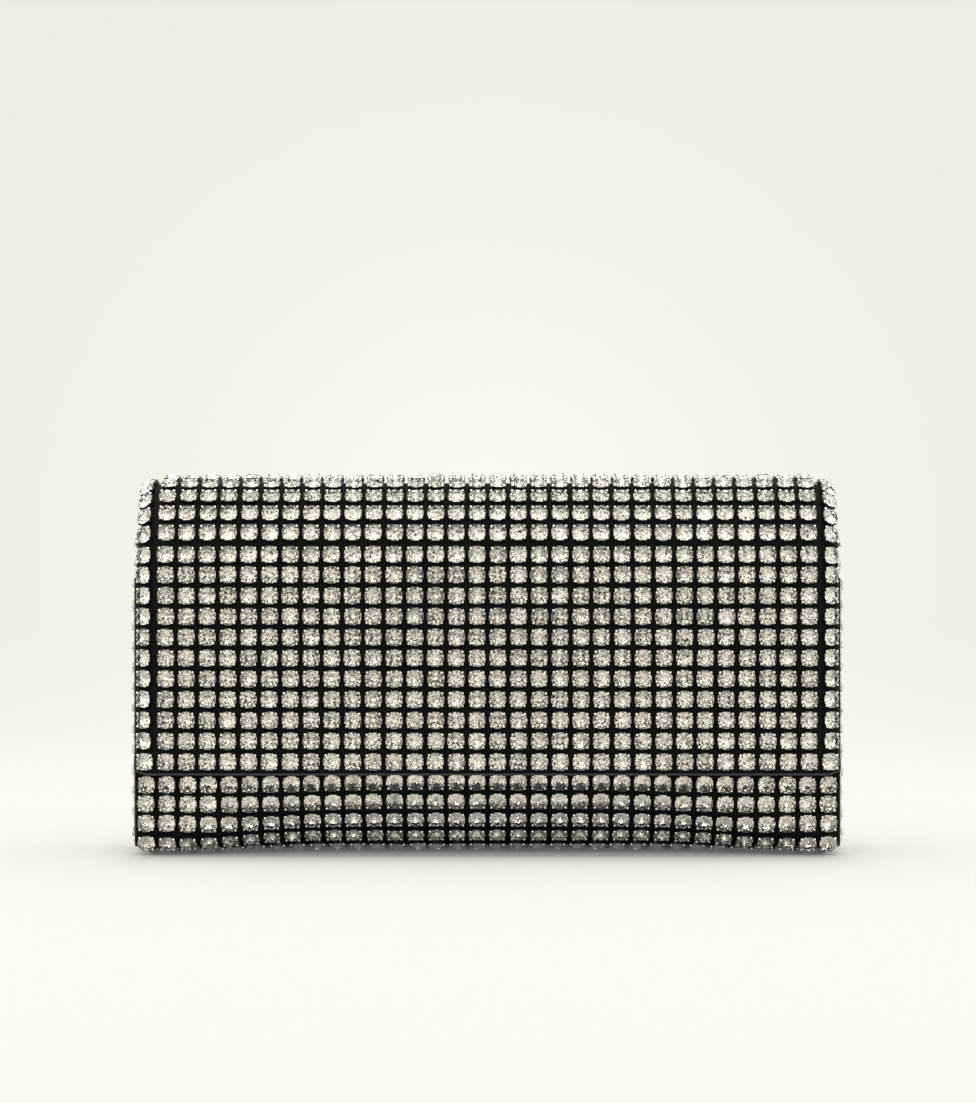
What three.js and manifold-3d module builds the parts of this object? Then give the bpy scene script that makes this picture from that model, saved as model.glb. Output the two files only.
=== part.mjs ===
// A box-sided evening bag covered in crystal mesh: a stiffened shell of front, back, base and two
// gussets, closed by a flap that rolls over the top on six fold lines and snaps to the front.
// Millimetres, +Z up, the front faces -Y, and the origin is under the middle of the base.
import * as THREE from "three";
import { mergeVertices } from "three/addons/utils/BufferGeometryUtils.js";
import Module from "manifold-3d";

const wasm = await Module();
wasm.setup();

// ---- driving dimensions ----
const PITCH = 7; // one stone of the mesh to the next
const STONE = 6; // a stone's setting across
const COLUMNS = 34; // stones across the front
const LAYER = 3.6; // the mesh's thickness, fabric to stone table
const MESH = [0.2, LAYER]; // layers are given as distances out from the shell's fabric face
const BOARD = [-1.2, 0];
const LINING = [-1.9, -1.4];
const FLAP_BOARD = [-0.7, 0];
const FLAP_LINING = [-1.3, -0.9];

const MESH_X = ((COLUMNS - 1) * PITCH + STONE) / 2; // 118.5
const HALF_DEPTH = 24; // fabric face of the front and back walls
const GUSSET_X = 117.2; // fabric face of the gussets
const GUSSET_BOARD = 1.4;
const WALL_X = GUSSET_X - GUSSET_BOARD - 0.3; // where the walls' boards stop, short of the gussets
const BASE_X = 117; // where the base mesh stops
const CURVE_Z = 39.6; // the walls are upright above this height
const CURVE_H = CURVE_Z - LAYER; // height of the curved foot
const SEAM = 38.7; // wall seam to the base, as a distance down the wall from CURVE_Z
const FRONT_TOP = 104; // top edge of the front wall
const FRONT_MESH_TOP = 11.7; // the front mesh starts here, just below the flap's hem

const ROLL_R = 26.738; // the roll's depth from its middle to the fabric, front and back
const ROLL_HEIGHT = 34.8;
const ROLL_EXPONENT = 2.4; // the roll is a superellipse: full shoulders and a flat top
const ROLL_Y = HALF_DEPTH - ROLL_R;
const ROLL_Z = 91.6; // the roll starts here, front and back
const FLAP_BOTTOM = -63.2; // the flap's lower edge, along the fabric from the start of the roll
const FLAP_X = MESH_X;
const STRIPS = 5;
const STRIP = 13.5; // two rows, drawn in a little by the bend
const FIRST_FOLD = 14; // the first fold line, along the fabric from the start of the roll
const LAST_FOLD = FIRST_FOLD + STRIPS * STRIP;
const MESH_TRIM = 0.95; // each mesh stops this far short of a fold
const CLOTH_TRIM = 0.24;
const HEM_END = -49; // the flap's side edges are turned back fully above this

const CURL_START = 110.5; // the flap's last column turns back round the body's corner
const CURL_WIDTH = 3;
const CURL_ANGLE = (33 * Math.PI) / 180;

// ---- materials ----
const paint = (color, roughness, metalness = 0) =>
  new THREE.MeshStandardMaterial({ color, roughness, metalness });
const CRYSTAL = paint(0xd9d6cf, 0.15, 0.3);
const SATIN = paint(0x15120f, 0.7);
const LINING_SATIN = paint(0x1b1815, 0.5);
const CORD = paint(0x0f0d0b, 0.8);
const STEEL = paint(0x8d8a86, 0.3, 1);
const MAGNET = paint(0x3c3b3a, 0.45, 1);

const bag = new THREE.Group();

function place(name, geometry, material, parent = bag) {
  const mesh = new THREE.Mesh(geometry, material);
  mesh.name = name;
  parent.add(mesh);
  return mesh;
}

// ---- solids from surfaces ----

// Turns the faces outwards if they enclose a negative volume.
function facingOut(positions, index) {
  const [a, b, c] = [new THREE.Vector3(), new THREE.Vector3(), new THREE.Vector3()];
  let volume = 0;
  for (let i = 0; i < index.length; i += 3) {
    a.fromArray(positions, index[i] * 3);
    b.fromArray(positions, index[i + 1] * 3);
    c.fromArray(positions, index[i + 2] * 3);
    volume += a.dot(b.cross(c));
  }
  if (volume < 0) index.reverse();
  const geometry = new THREE.BufferGeometry();
  geometry.setAttribute("position", new THREE.Float32BufferAttribute(positions, 3));
  geometry.setIndex(index);
  return geometry;
}

// A closed shell: surface(u, v) gives a point and its outward normal, and the solid fills the
// space between the two distances of layer, over every u and v station.
function shell(surface, us, vs, [inner, outer]) {
  const positions = [];
  const index = [];
  const size = us.length * vs.length;
  for (const distance of [inner, outer]) {
    for (const u of us) {
      for (const v of vs) {
        const { point, normal } = surface(u, v);
        point.addScaledVector(normal, distance);
        positions.push(point.x, point.y, point.z);
      }
    }
  }
  const at = (i, j, side) => side * size + i * vs.length + j;
  const quad = (a, b, c, d) => index.push(a, b, c, a, c, d);
  const [lastU, lastV] = [us.length - 1, vs.length - 1];
  for (let i = 0; i < lastU; i++) {
    for (let j = 0; j < lastV; j++) {
      quad(at(i, j, 1), at(i + 1, j, 1), at(i + 1, j + 1, 1), at(i, j + 1, 1));
      quad(at(i, j, 0), at(i, j + 1, 0), at(i + 1, j + 1, 0), at(i + 1, j, 0));
    }
    quad(at(i, 0, 0), at(i + 1, 0, 0), at(i + 1, 0, 1), at(i, 0, 1));
    quad(at(i, lastV, 0), at(i, lastV, 1), at(i + 1, lastV, 1), at(i + 1, lastV, 0));
  }
  for (let j = 0; j < lastV; j++) {
    quad(at(0, j, 0), at(0, j, 1), at(0, j + 1, 1), at(0, j + 1, 0));
    quad(at(lastU, j, 0), at(lastU, j + 1, 0), at(lastU, j + 1, 1), at(lastU, j, 1));
  }
  return facingOut(positions, index);
}

// A closed bar through rings of equally many points, capped flat at both ends.
function bar(rings) {
  const count = rings[0].length;
  const positions = rings.flat().flatMap((p) => [p.x, p.y, p.z]);
  const index = [];
  for (let r = 0; r + 1 < rings.length; r++) {
    for (let k = 0; k < count; k++) {
      const [a, b] = [r * count + k, r * count + ((k + 1) % count)];
      index.push(a, b, b + count, a, b + count, a + count);
    }
  }
  const last = (rings.length - 1) * count;
  for (let k = 1; k + 1 < count; k++) {
    index.push(0, k + 1, k, last, last + k, last + k + 1);
  }
  return facingOut(positions, index);
}

function solidOf(geometry) {
  const bare = geometry.clone();
  bare.deleteAttribute("normal");
  bare.deleteAttribute("uv");
  const merged = mergeVertices(bare, 1e-4);
  return new wasm.Manifold(
    new wasm.Mesh({
      numProp: 3,
      vertProperties: new Float32Array(merged.attributes.position.array),
      triVerts: new Uint32Array(merged.index.array),
    }),
  );
}

function geometryOf(solid) {
  const { vertProperties, triVerts } = solid.getMesh();
  const geometry = new THREE.BufferGeometry();
  geometry.setAttribute("position", new THREE.Float32BufferAttribute(vertProperties, 3));
  geometry.setIndex([...triVerts]);
  return geometry;
}

// A box from its lowest to its highest corner.
function block(low, high) {
  const size = high.map((h, k) => h - low[k]);
  const middle = high.map((h, k) => (h + low[k]) / 2);
  return new THREE.BoxGeometry(...size).translate(...middle);
}

const mirrored = (stations) => [...stations.map((x) => -x).reverse(), ...stations];

// ---- the shell's surface ----

// Box-shaped at the gussets, easing to a round foot in the middle of the bag.
function footExponent(x) {
  const [round, square] = [2.4, 20];
  const share = THREE.MathUtils.smoothstep(Math.abs(x), 56, 116);
  return 1 / ((1 - share) / round + share / square);
}

// The foot's quarter curve at x, from the wall down to the middle of the base, with its length.
const sections = new Map();
function sectionAt(x) {
  const n = footExponent(x);
  if (sections.has(n)) return sections.get(n);
  const steps = 4000;
  const points = [];
  let length = 0;
  for (let i = 0; i <= steps; i++) {
    const turn = (Math.PI / 2) * (i / steps);
    const [across, down] = [Math.cos(turn), Math.sin(turn)];
    const reach = ((across / HALF_DEPTH) ** n + (down / CURVE_H) ** n) ** (-1 / n);
    const y = reach * across;
    const z = CURVE_Z - reach * down;
    const before = points[i - 1];
    if (before) length += Math.hypot(y - before.y, z - before.z);
    points.push({ y, z, length });
  }
  const section = { n, points, length };
  sections.set(n, section);
  return section;
}

// The roll's curve over the top, from the front round to the back, with its length.
const roll = (() => {
  const steps = 8000;
  const points = [];
  let length = 0;
  for (let i = 0; i <= steps; i++) {
    const turn = Math.PI * (i / steps);
    const [across, up] = [Math.cos(turn), Math.max(Math.sin(turn), 0)];
    const n = ROLL_EXPONENT;
    const reach = (Math.abs(across / ROLL_R) ** n + (up / ROLL_HEIGHT) ** n) ** (-1 / n);
    const [y, z] = [-reach * across, reach * up];
    const before = points[i - 1];
    if (before) length += Math.hypot(y - before.y, z - before.z);
    points.push({ y, z, length });
  }
  return { points, length };
})();

// The roll's fabric at a distance along it, with the angle that it has turned from the front.
// Before its start and after its end it goes straight down.
function rollAt(along) {
  if (along <= 0) return { y: -ROLL_R, z: along, angle: 0 };
  if (along >= roll.length) return { y: ROLL_R, z: roll.length - along, angle: Math.PI };
  let [low, high] = [0, roll.points.length - 1];
  while (high - low > 1) {
    const middle = (low + high) >> 1;
    if (roll.points[middle].length < along) low = middle;
    else high = middle;
  }
  const { y, z } = roll.points[high];
  const power = ROLL_EXPONENT - 1;
  const outY = (Math.sign(y) * Math.abs(y / ROLL_R) ** power) / ROLL_R;
  const outZ = (z / ROLL_HEIGHT) ** power / ROLL_HEIGHT;
  return { y, z, angle: Math.atan2(outZ, -outY) };
}

// A wall's point, drop millimetres down its fabric from CURVE_Z. side is -1 for the front and 1
// for the back, whose top row follows the roll.
function wall(side) {
  return (x, drop) => {
    let [y, z, ny, nz] = [HALF_DEPTH, CURVE_Z - drop, 1, 0];
    if (drop > 0) {
      const { n, points, length } = sectionAt(x);
      const reach = Math.min(drop, length);
      let [low, high] = [0, points.length - 1];
      while (high - low > 1) {
        const middle = (low + high) >> 1;
        if (points[middle].length < reach) low = middle;
        else high = middle;
      }
      ({ y, z } = points[high]);
      ny = Math.max(y / HALF_DEPTH, 0) ** (n - 1) / HALF_DEPTH;
      nz = -(((CURVE_Z - z) / CURVE_H) ** (n - 1)) / CURVE_H;
    } else if (side > 0 && z > ROLL_Z) {
      const top = rollAt(roll.length - (z - ROLL_Z));
      [ny, nz] = [-Math.cos(top.angle), Math.sin(top.angle)];
      [y, z] = [ROLL_Y + top.y, ROLL_Z + top.z];
    }
    return {
      point: new THREE.Vector3(x, side * y, z),
      normal: new THREE.Vector3(0, side * ny, nz).normalize(),
    };
  };
}

// The base between the two wall seams: share runs from -1 at the front seam to 1 at the back.
function base(x, share) {
  const { length } = sectionAt(x);
  const edge = SEAM + 0.4;
  return wall(share < 0 ? -1 : 1)(x, length - Math.abs(share) * (length - edge));
}

// The flap's point: across is measured along the cloth from the middle, and along from the
// start of the roll, down the front when negative.
function flap(across, along) {
  const { y, z, angle } = rollAt(along);
  const outward = new THREE.Vector3(0, -Math.cos(angle), Math.sin(angle));
  const point = new THREE.Vector3(0, ROLL_Y + y, ROLL_Z + z);
  const hem = THREE.MathUtils.smoothstep(along, HEM_END - 12, HEM_END);
  const rear = THREE.MathUtils.smoothstep(angle, 1.9, 2.9);
  const turn = CURL_ANGLE * (0.12 + 0.88 * hem) * (1 - rear) + 1e-4;
  const ramp = THREE.MathUtils.clamp(Math.abs(across) - CURL_START, 0, CURL_WIDTH);
  const rest = Math.max(Math.abs(across) - CURL_START - CURL_WIDTH, 0);
  const bend = (turn * ramp) / CURL_WIDTH;
  const radius = CURL_WIDTH / turn;
  const flat = Math.min(Math.abs(across), CURL_START);
  const sign = Math.sign(across);
  point.x = sign * (flat + radius * Math.sin(bend) + rest * Math.cos(turn));
  point.addScaledVector(outward, -radius * (1 - Math.cos(bend)) - rest * Math.sin(turn));
  const normal = outward.multiplyScalar(Math.cos(bend));
  normal.x = sign * Math.sin(bend);
  return { point, normal };
}

// ---- stations, close together only where the surface bends ----
const bendX = [50, 66, 80, 92, 102, 110];
const footDrops = [0, 10, 19, 26, 31.5, 34.4, 36.6, SEAM];
const footInside = (from, to) => [from, ...footDrops.filter((d) => d > from && d < to), to];
const acrossStations = (edge) =>
  mirrored([CURL_START, CURL_START + 1.5, CURL_START + CURL_WIDTH, edge]);

// ---- walls and base ----
function walls() {
  const front = wall(-1);
  const back = wall(1);
  const overTop = roll.length - LAST_FOLD; // how far the back follows the roll
  const rollStart = -(ROLL_Z - CURVE_Z);
  const rollStations = (trim) => [
    rollStart - overTop + trim,
    ...[0.75, 0.5, 0.25, 0].map((t) => rollStart - overTop * t),
  ];
  const meshX = mirrored([...bendX, MESH_X]);
  const boardX = mirrored([...bendX, WALL_X]);
  const liningX = mirrored([...bendX, WALL_X - 0.9]);
  const frontTop = CURVE_Z - FRONT_TOP;

  place("front_crystal_mesh", shell(front, meshX, footInside(FRONT_MESH_TOP, SEAM), MESH), CRYSTAL);
  place("front_board", shell(front, boardX, [frontTop, ...footDrops], BOARD), SATIN);
  place("front_lining", shell(front, liningX, [frontTop, ...footDrops], LINING), LINING_SATIN);

  const backDrops = (trim) => [...rollStations(trim), ...footDrops];
  place("back_crystal_mesh", shell(back, meshX, backDrops(MESH_TRIM), MESH), CRYSTAL);
  place("back_board", shell(back, boardX, backDrops(CLOTH_TRIM), BOARD), SATIN);
  place("back_lining", shell(back, liningX, backDrops(CLOTH_TRIM), LINING), LINING_SATIN);

  const shares = [-1, -0.66, -0.33, 0, 0.33, 0.66, 1];
  place("base_crystal_mesh", shell(base, mirrored([...bendX, BASE_X]), shares, MESH), CRYSTAL);
  place("base_board", shell(base, boardX, shares, BOARD), SATIN);
  place("base_lining", shell(base, liningX, shares, LINING), LINING_SATIN);
}

// ---- gussets ----
const GUSSET_TOP = 113.2;

// The gusset's outline in (y, z), drawn in by inset: the walls' own curve round the foot, and
// shoulders that stay inside the flap's roll.
function gussetShape(inset) {
  const shoulders = [
    [-24, 95],
    [-23.1, 100],
    [-21.6, 105],
    [-18.8, 109.5],
    [-15.2, GUSSET_TOP],
    [14, GUSSET_TOP],
    [18, 109.5],
    [20.8, 105],
    [22.4, 100],
    [24, 93],
  ].map(([y, z]) => [y - Math.sign(y) * inset, z - inset]);
  const foot = footOutline(-inset).map(({ y, z }) => [y, z]);
  return new THREE.Shape([...shoulders, ...foot].map(([y, z]) => new THREE.Vector2(y, z)));
}

// The foot seen from the side at the gussets, from the back wall round to the front, moved out
// from the fabric by a distance.
function footOutline(distance) {
  const side = (sign) =>
    footDrops.map((drop) => {
      const { point, normal } = wall(sign)(GUSSET_X, drop);
      return point.addScaledVector(normal, distance);
    });
  return [...side(1), ...side(-1).reverse()];
}

// Extrudes a (y, z) outline along x from near to far.
function sideways(shape, near, far) {
  const geometry = new THREE.ExtrudeGeometry(shape, { depth: far - near, bevelEnabled: false });
  const turn = new THREE.Matrix4().makeBasis(
    new THREE.Vector3(0, 1, 0),
    new THREE.Vector3(0, 0, 1),
    new THREE.Vector3(1, 0, 0),
  );
  return geometry.applyMatrix4(turn).translate(near, 0, 0);
}

// A cord laid in the corner between a wall and the gusset: down the back, under the base and up
// the front.
function piping(x) {
  const [radius, sides, high] = [0.5, 6, 94];
  const path = footOutline(0.6).map(({ y, z }) => [y, z]);
  path.unshift([path[0][0], high]);
  path.push([path.at(-1)[0], high]);
  const rings = path.map(([y, z], k) => {
    const [before, after] = [path[Math.max(k - 1, 0)], path[Math.min(k + 1, path.length - 1)]];
    const across = new THREE.Vector2(before[1] - after[1], after[0] - before[0]).normalize();
    return Array.from({ length: sides }, (_, j) => {
      const turn = (2 * Math.PI * j) / sides;
      const out = radius * Math.cos(turn);
      return new THREE.Vector3(x + radius * Math.sin(turn), y + out * across.x, z + out * across.y);
    });
  });
  return bar(rings);
}

function gussets() {
  const boardIn = GUSSET_X - GUSSET_BOARD;
  const liningOut = boardIn - 0.3;
  for (const [side, sign] of [["left", -1], ["right", 1]]) {
    const half = new THREE.Group();
    half.scale.x = sign; // the left gusset is the right one mirrored
    bag.add(half);
    const meshShape = gussetShape(0.3);
    place(`${side}_gusset_crystal_mesh`, sideways(meshShape, GUSSET_X + MESH[0], GUSSET_X + LAYER),
      CRYSTAL, half);
    place(`${side}_gusset_board`, sideways(gussetShape(0), boardIn, GUSSET_X), SATIN, half);
    place(`${side}_gusset_lining`, sideways(gussetShape(1.6), liningOut - 0.5, liningOut),
      LINING_SATIN, half);
    place(`${side}_gusset_binding`,
      block([liningOut - 0.6, -15, GUSSET_TOP + 0.2], [GUSSET_X + 0.4, 13.8, GUSSET_TOP + 0.9]), CORD, half);
    place(`${side}_seam_piping`, piping(119.3), CORD, half);
  }
  place("front_mouth_binding",
    block([-WALL_X, -HALF_DEPTH - 0.3, FRONT_TOP + 0.2], [WALL_X, -HALF_DEPTH + 2.1, FRONT_TOP + 0.9]),
    CORD);
}

// ---- flap ----

// The flap's stations from its hem to a little short of the first fold.
const flapStations = (trim) => [
  FLAP_BOTTOM,
  ...[-12, -8, -4, 0].map((d) => HEM_END + d),
  ...[0, 0.25, 0.5, 0.75].map((t) => FIRST_FOLD * t),
  FIRST_FOLD - trim,
];

// The cloth edge turned over the flap's rim, down one side, along the hem and up the other.
function edgeBinding() {
  const [near, far, low, high] = [0.3, 1, -1.3, 0.9];
  const hem = FLAP_BOTTOM;
  const sides = [...flapStations(MESH_TRIM).slice(1)].reverse();
  const acrosses = acrossStations(FLAP_X).slice(1, -1);
  const ring = (a1, s1, a2, s2) => {
    const lift = (a, s, d) => {
      const { point, normal } = flap(a, s);
      return point.addScaledVector(normal, d);
    };
    return [lift(a1, s1, low), lift(a2, s2, low), lift(a2, s2, high), lift(a1, s1, high)];
  };
  const left = sides.map((s) => ring(-FLAP_X - near, s, -FLAP_X - far, s));
  const right = sides.map((s) => ring(FLAP_X + near, s, FLAP_X + far, s)).reverse();
  const corner = (sign) =>
    ring(sign * (FLAP_X + near), hem - near, sign * (FLAP_X + far), hem - far);
  const bottom = acrosses.map((a) => ring(a, hem - near, a, hem - far));
  return bar([...left, corner(-1), ...bottom, corner(1), ...right]);
}

function flapLeaf() {
  const across = acrossStations(FLAP_X);
  place("flap_crystal_mesh", shell(flap, across, flapStations(MESH_TRIM), MESH), CRYSTAL);
  place("flap_board", shell(flap, across, flapStations(CLOTH_TRIM), FLAP_BOARD), SATIN);
  place("flap_lining", shell(flap, across, flapStations(CLOTH_TRIM), FLAP_LINING), LINING_SATIN);
  place("flap_edge_binding", edgeBinding(), CORD);
}

// The roll over the top, as strips of two rows that fold against each other.
function rollStrips() {
  const across = acrossStations(FLAP_X);
  for (let k = 1; k <= STRIPS; k++) {
    const from = FIRST_FOLD + (k - 1) * STRIP;
    const to = from + STRIP;
    const stations = (trim) => {
      const [low, high] = [from + trim, to - trim];
      return [0, 0.25, 0.5, 0.75, 1].map((t) => low + t * (high - low));
    };
    place(`roll_${k}_crystal_mesh`, shell(flap, across, stations(MESH_TRIM), MESH), CRYSTAL);
    place(`roll_${k}_backing`, shell(flap, across, stations(CLOTH_TRIM), FLAP_BOARD), SATIN);
    place(`roll_${k}_lining`, shell(flap, across, stations(CLOTH_TRIM), FLAP_LINING), LINING_SATIN);
  }
}

// ---- magnetic snap and pocket ----
const SNAP_Z = 56;

// A turned piece on the snap's axis. The profile is closed, as (radius, height), and towards is
// -1 if it rises towards the front and 1 towards the back.
function turned(profile, y, towards) {
  const points = profile.map(([r, h]) => new THREE.Vector2(r, h));
  return new THREE.LatheGeometry([...points, points[0]], 32)
    .rotateX(towards < 0 ? Math.PI : 0)
    .translate(0, y, SNAP_Z);
}

function snap() {
  const face = -HALF_DEPTH - 0.15;
  const [hole, rim] = [3.2, 8];
  place("snap_socket_case",
    turned([[hole, 2.3], [hole, 2], [rim - 0.4, 2], [rim - 0.4, 0], [rim, 0], [rim, 2],
      [rim - 0.3, 2.3]], face, -1), STEEL);
  place("snap_socket_magnet",
    turned([[hole + 0.3, 0.1], [rim - 0.7, 0.1], [rim - 0.7, 1.7], [hole + 0.3, 1.7]], face, -1),
    MAGNET);
  const inside = -HALF_DEPTH - LINING[0] + 0.15;
  place("snap_socket_washer", turned([[2, 0], [7, 0], [7, 0.7], [2, 0.7]], inside, 1), STEEL);

  const lining = ROLL_Y - ROLL_R - FLAP_LINING[0] + 0.15;
  place("snap_stud",
    turned([[0, 0], [7.2, 0], [7.2, 0.5], [6.9, 0.8], [2, 0.8], [2, 2.3], [1.6, 2.6], [0, 2.6]],
      lining, 1), STEEL);
}

// An open-topped pocket sewn to the back lining.
function pocket() {
  const back = HALF_DEPTH + LINING[0] - 0.3;
  const [width, low, high, deep, cloth] = [76, 47, 92, 4, 0.6];
  const outer = block([-width, back - deep, low], [width, back, high]);
  const inner = block([-width + cloth, back - deep + cloth, low + cloth],
    [width - cloth, back + 1, high + 1]);
  place("slip_pocket", geometryOf(solidOf(outer).subtract(solidOf(inner))), LINING_SATIN);
  place("slip_pocket_binding",
    block([-width, back - deep - 0.3, high + 0.2], [width, back - deep + cloth + 0.3, high + 0.9]), CORD);
}

walls();
gussets();
flapLeaf();
rollStrips();
snap();
pocket();
bag.position.y = -ROLL_Y; // centres the closed bag's depth on the origin

export default bag;
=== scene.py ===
import math

import bpy
import numpy as np
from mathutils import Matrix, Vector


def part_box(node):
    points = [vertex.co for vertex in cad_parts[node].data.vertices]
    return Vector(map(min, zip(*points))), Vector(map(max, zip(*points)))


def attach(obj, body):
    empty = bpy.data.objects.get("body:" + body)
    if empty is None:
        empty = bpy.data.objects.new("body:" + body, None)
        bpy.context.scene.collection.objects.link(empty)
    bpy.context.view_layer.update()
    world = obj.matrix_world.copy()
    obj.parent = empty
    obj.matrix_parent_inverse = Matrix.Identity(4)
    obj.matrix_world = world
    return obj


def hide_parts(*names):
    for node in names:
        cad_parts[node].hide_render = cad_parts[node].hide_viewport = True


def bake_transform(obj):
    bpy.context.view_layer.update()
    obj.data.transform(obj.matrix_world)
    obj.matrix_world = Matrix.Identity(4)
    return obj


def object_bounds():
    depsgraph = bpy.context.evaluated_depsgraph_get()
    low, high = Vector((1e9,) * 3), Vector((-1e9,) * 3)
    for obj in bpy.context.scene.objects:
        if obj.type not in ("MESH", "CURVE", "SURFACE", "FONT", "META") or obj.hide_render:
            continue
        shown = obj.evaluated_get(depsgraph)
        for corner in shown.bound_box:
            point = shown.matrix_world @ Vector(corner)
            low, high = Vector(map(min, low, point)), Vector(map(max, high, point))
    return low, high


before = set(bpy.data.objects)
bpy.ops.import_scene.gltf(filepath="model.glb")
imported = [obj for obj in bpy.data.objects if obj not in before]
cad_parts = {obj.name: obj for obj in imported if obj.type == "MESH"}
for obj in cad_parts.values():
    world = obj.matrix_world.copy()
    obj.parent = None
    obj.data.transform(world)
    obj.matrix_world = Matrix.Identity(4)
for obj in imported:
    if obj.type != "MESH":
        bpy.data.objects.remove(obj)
cad_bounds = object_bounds()

# ---- The studio ----
# A pale paper floor under a warm white surround, with large soft lights on every side. The floor
# fades out around the bag, and the lights have dark gaps between them for the stones to catch.


class Signal:
    """A node's output. Python's arithmetic on it adds Math nodes to its tree."""

    def __init__(self, graph, output):
        self.graph, self.output = graph, output

    def math(self, operation, *others):
        values = dict(enumerate((self, *others)))
        return self.graph.add("ShaderNodeMath", {"operation": operation}, values)

    def __add__(self, other):
        return self.math("ADD", other)

    def __mul__(self, other):
        return self.math("MULTIPLY", other)

    def __sub__(self, other):
        return self.math("SUBTRACT", other)

    def __rsub__(self, other):
        return self.graph.add("ShaderNodeMath", {"operation": "SUBTRACT"}, {0: other, 1: self})

    __radd__, __rmul__ = __add__, __mul__


class Graph:
    """The nodes of one material or world."""

    def __init__(self, tree):
        self.tree = tree
        tree.nodes.clear()

    def add(self, kind, settings=None, sockets=None, output=0):
        """Adds a node: its settings or its ramp's stops first, then its sockets' values or links."""
        node = self.tree.nodes.new(kind)
        for name, value in (settings or {}).items():
            if name == "stops":
                marks = node.color_ramp.elements
                while len(marks) < len(value):
                    marks.new(1)
                for mark, (position, level) in zip(marks, value):
                    mark.position = position
                    mark.color = (level, level, level, 1)
            else:
                setattr(node, name, value)
        for name, value in (sockets or {}).items():
            if isinstance(value, Signal):
                self.tree.links.new(value.output, node.inputs[name])
            else:
                node.inputs[name].default_value = value
        return Signal(self, node.outputs[output]) if len(node.outputs) else node

    def ramp(self, factor, stops):
        """A brightness that follows factor through stops of (position, brightness)."""
        return self.add("ShaderNodeValToRGB", {"stops": stops}, {"Fac": factor})

    def mix(self, factor, first, second):
        """Blends two colours by factor."""
        first, second = (side if isinstance(side, Signal) else (*side, 1) for side in (first, second))
        return self.add("ShaderNodeMix", {"data_type": "RGBA"}, {0: factor, 6: first, 7: second}, output=2)

    def vector(self, operation, first, second=None, output=0):
        """Vector arithmetic: output 1 is the one that holds a length or a dot product."""
        values = {0: first} if second is None else {0: first, 1: second}
        return self.add("ShaderNodeVectorMath", {"operation": operation}, values, output)

    def surface(self, **sockets):
        """The material's Principled shader. A socket's name is given with _ for each space."""
        named = {name.replace("_", " "): value for name, value in sockets.items()}
        shader = self.add("ShaderNodeBsdfPrincipled", sockets=named)
        self.add("ShaderNodeOutputMaterial", sockets={"Surface": shader})

    def parts(self, vector):
        """A vector's three numbers."""
        split = self.add("ShaderNodeSeparateXYZ", sockets={0: vector})
        return [Signal(self, output) for output in split.output.node.outputs]


def new_material(name):
    """An empty material, with the graph of its nodes."""
    material = bpy.data.materials.new(name)
    material.use_nodes = True
    return material, Graph(material.node_tree)


CAMERA_HEIGHT = 0.103
CAMERA_AWAY = 1.3  # from the flap to the lens

scene = bpy.context.scene
scene.view_settings.view_transform = "Standard"

camera = bpy.data.cameras.new("camera")
camera.sensor_fit = "VERTICAL"
camera.sensor_height = 36
camera.lens = 126
camera.clip_end = 20
camera_object = bpy.data.objects.new("camera", camera)
camera_object.location = (0.0002, cad_bounds[0][1] - CAMERA_AWAY, CAMERA_HEIGHT)
camera_object.rotation_euler = (math.pi / 2, 0, 0)
scene.collection.objects.link(camera_object)
scene.camera = camera_object

LAMP_COLOUR, LAMP_STRENGTH = (1.0, 0.972, 0.92), 2.08
SURROUND_NEAR, SURROUND_FAR = (0.965, 0.94, 0.90), (0.862, 0.835, 0.765)

world = bpy.data.worlds.new("studio")
scene.world = world
world.use_nodes = True
graph = Graph(world.node_tree)
direction = graph.add("ShaderNodeTexCoord", output=0)
height = graph.parts(direction)[2]
# the lamps: broad boxes of light all round, with narrow dark gaps between them
gaps = graph.add("ShaderNodeTexVoronoi", {"feature": "DISTANCE_TO_EDGE"},
                 {"Vector": direction, "Scale": 4.2, "Randomness": 1.0})
boxes = graph.ramp(gaps, [(0.0, 0.02), (0.045, 0.03), (0.09, 1.0)])
# the dark opening that the bag is looked at through
front_on = graph.vector("DOT_PRODUCT", direction, (0, -1, 0), 1)
opening = graph.ramp(front_on * 20 - 19, [(0.72, 1.0), (0.80, 0.05)])
# brighter overhead, dimmer at the two ends
overhead = graph.ramp(height * 0.5 + 0.5, [(0.0, 0.7), (0.5, 0.8), (0.7, 1.0), (1.0, 1.5)])
sideways = graph.vector("DOT_PRODUCT", direction, (1, 0, 0), 1).math("ABSOLUTE")
ends = graph.ramp(sideways, [(0.0, 1.0), (0.6, 1.0), (0.92, 0.5)])
light = boxes
for factor in (opening, overhead, ends, LAMP_COLOUR):
    light = graph.vector("MULTIPLY", light, factor)
lit = graph.add("ShaderNodeBackground", sockets={"Color": light, "Strength": LAMP_STRENGTH})
# the surround that shows: brightest level with the bag, and dimmer above and to the sides
away = graph.vector("LENGTH", graph.vector("MULTIPLY", direction, (1, 0, 1)), output=1)
dimmer = graph.ramp(away * 5, [(0.0, 0.0), (0.12, 0.04), (0.75, 1.0)])
shade = graph.mix(dimmer, SURROUND_NEAR, SURROUND_FAR)
low = graph.ramp(height * 10 + 1, [(0.35, 1.0), (0.80, 0.0)])
shade = graph.mix(low, shade, SURROUND_NEAR)
seen = graph.add("ShaderNodeBackground", sockets={"Color": shade, "Strength": 1.0})
eye = graph.add("ShaderNodeLightPath", output=0)
both = graph.add("ShaderNodeMixShader", sockets={0: eye, 1: lit, 2: seen})
graph.add("ShaderNodeOutputWorld", sockets={"Surface": both})


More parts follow.
